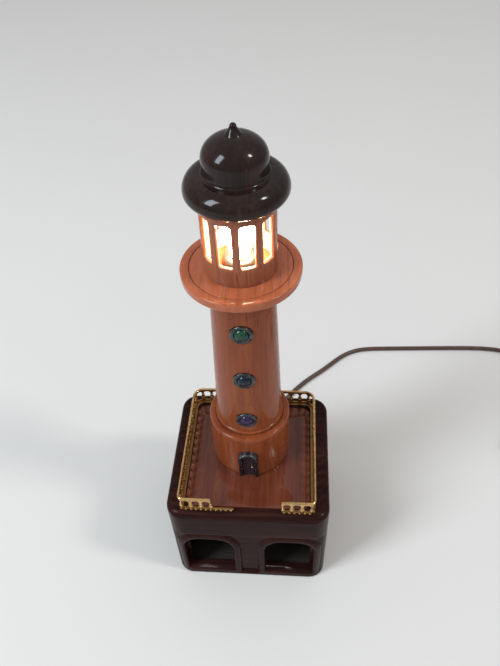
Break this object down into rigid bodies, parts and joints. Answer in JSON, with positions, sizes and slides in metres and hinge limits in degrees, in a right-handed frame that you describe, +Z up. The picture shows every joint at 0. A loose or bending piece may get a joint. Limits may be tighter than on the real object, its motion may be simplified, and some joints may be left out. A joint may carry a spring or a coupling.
{
  "type": "table lamp",
  "caption": "Wooden lighthouse table lamp: turned tower with a lit lantern room and brass-railed deck on an arched base, with a mains lead, switch and plug.",
  "frame": {"origin": "on the table, under the middle of the base block", "axes": "+Z up; the front with the two arches faces -Y; +X to the right of someone facing the front"},
  "size_m": [0.4645, 0.3322, 0.4643],
  "materials": {
    "dark_wood": "near-black brown stain under high-gloss lacquer",
    "red_wood": "reddish-brown stain under gloss lacquer",
    "orange_wood": "orange-red stain under satin lacquer",
    "plain_wood": "plywood, sanded",
    "felt": "black felt",
    "brass": "polished brass",
    "steel": "zinc-plated steel",
    "nickel": "nickel plate",
    "gunmetal": "dark grey-green cast metal, satin",
    "dark_glaze": "blue-black gloss",
    "green_glass": "dark green glass bead, backed",
    "blue_glass": "blue-black glass bead, backed",
    "violet_glass": "violet-blue glass bead, backed",
    "bulb_glass": "opal bulb glass, lit",
    "black_glass": "black glass insulator with its contact",
    "black_plastic": "moulded black plastic",
    "brown_plastic": "moulded brown plastic",
    "cord_sheath": "dark brown plastic-covered flex"
  },
  "bodies": {
    "root": {"base_block": "dark_wood", "bottom_plate": "plain_wood", "plate_screws": "steel", "felt_feet": "felt", "deck_panel": "red_wood", "rail_left": "brass", "rail_right": "brass", "rail_pins": "brass", "collar": "red_wood", "door_frame": "gunmetal", "door_leaf": "dark_glaze", "tower_shaft": "red_wood", "porthole_ring_top": "gunmetal", "porthole_ring_middle": "gunmetal", "porthole_ring_bottom": "gunmetal", "porthole_lens_top": "green_glass", "porthole_lens_middle": "blue_glass", "porthole_lens_bottom": "violet_glass", "gallery_ring": "orange_wood", "gallery_disc": "orange_wood", "lantern_tube": "orange_wood", "threaded_tube": "steel", "tube_nut": "brass", "tube_washer": "steel", "holder_washer": "steel", "lampholder_body": "black_plastic", "lampholder_sleeve": "brass", "centre_contact": "brass", "inner_flex": "cord_sheath", "cord_relief": "black_plastic", "cord_to_switch": "cord_sheath", "switch_base": "brown_plastic", "switch_cover": "brown_plastic", "switch_screws": "steel", "cord_to_coil": "cord_sheath", "cord_coil": "cord_sheath", "coil_tie": "black_plastic", "cord_to_plug": "cord_sheath", "plug_body": "black_plastic", "plug_pins": "nickel"},
    "dome": {"dome": "dark_wood", "finial": "dark_wood"},
    "bulb_tip": {"bulb_contact": "black_glass"},
    "bulb": {"bulb_glass": "bulb_glass", "bulb_cap": "nickel"},
    "rocker": {"switch_rocker": "black_plastic"}
  },
  "joints": [
    {"name": "dome_lift", "type": "slide", "parent": "root", "child": "dome", "axis": [0, 0, 1], "range_m": [0, 0.06]},
    {"name": "bulb_climb", "type": "slide", "parent": "root", "child": "bulb_tip", "axis": [0, 0, 1], "range_m": [0, 0.0099]},
    {"name": "bulb_turn", "type": "hinge", "parent": "bulb_tip", "child": "bulb", "pos_m": [0, 0.01, 0.3565], "axis": [0, 0, 1], "range_deg": [0, 1264]},
    {"name": "switch_rocker_tip", "type": "hinge", "parent": "root", "child": "rocker", "pos_m": [0.3505, 0.2005, 0.0132], "axis": [-1, 0, 0], "range_deg": [0, 24]}
  ],
  "couplings": [
    {"joint": "bulb_turn", "follows": "bulb_climb", "rad_per_m": 2228.1}
  ]
}
